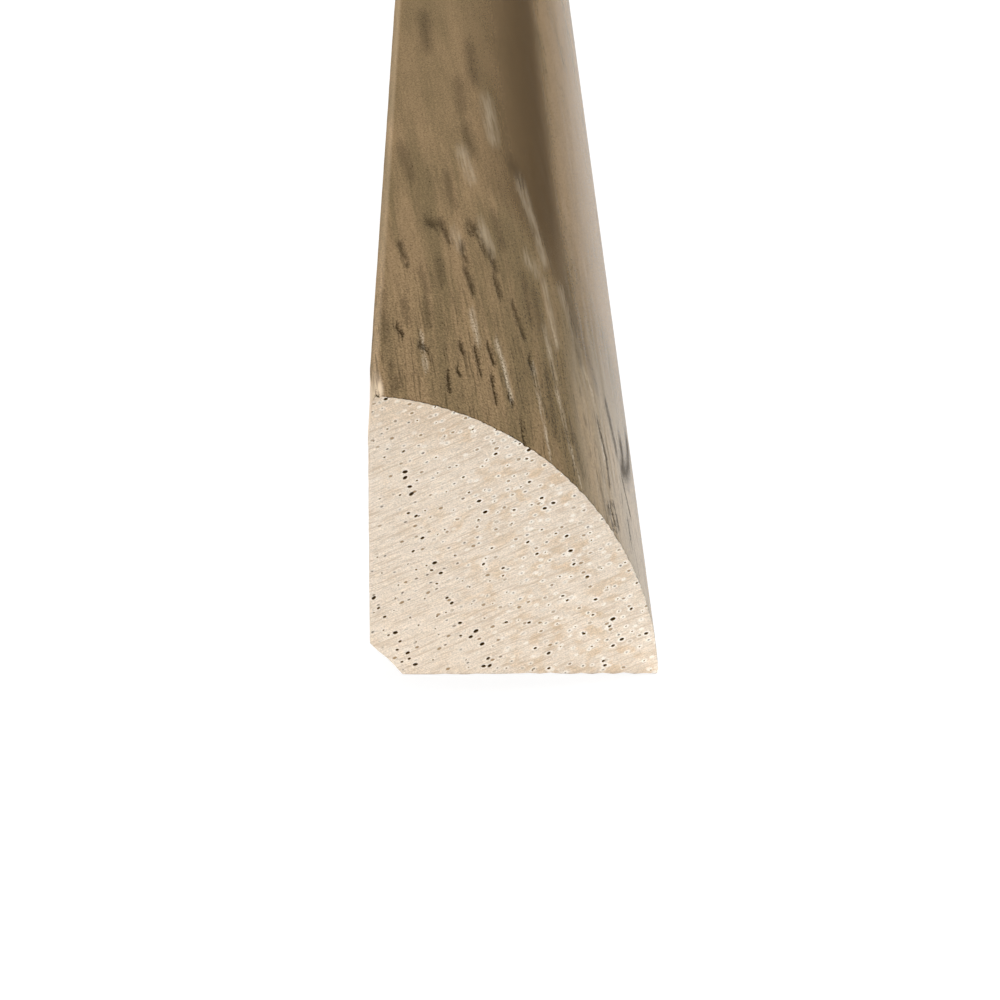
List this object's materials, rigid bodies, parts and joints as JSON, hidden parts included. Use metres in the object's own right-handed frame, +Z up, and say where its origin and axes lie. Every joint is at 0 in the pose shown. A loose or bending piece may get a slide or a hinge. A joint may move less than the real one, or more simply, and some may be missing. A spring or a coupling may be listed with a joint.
{
  "type": "quarter round moulding",
  "caption": "Length of hardwood quarter round trim with a stained satin nose, sawn ends and a chamfered back corner, for covering the joint of floor and wall.",
  "frame": {"origin": "on the floor face, under the middle of the stock's length and width", "axes": "+X from the wall face out to the toe, +Y along the stock, +Z up from the floor face to the crown"},
  "size_m": [0.019, 1.9812, 0.019],
  "materials": {
    "stained_hardwood": "brown stain under a satin clear coat on the nose, bare wood on the sawn ends and on the floor and wall faces"
  },
  "bodies": {
    "root": {"quarter_round_moulding": "stained_hardwood"}
  },
  "joints": []
}
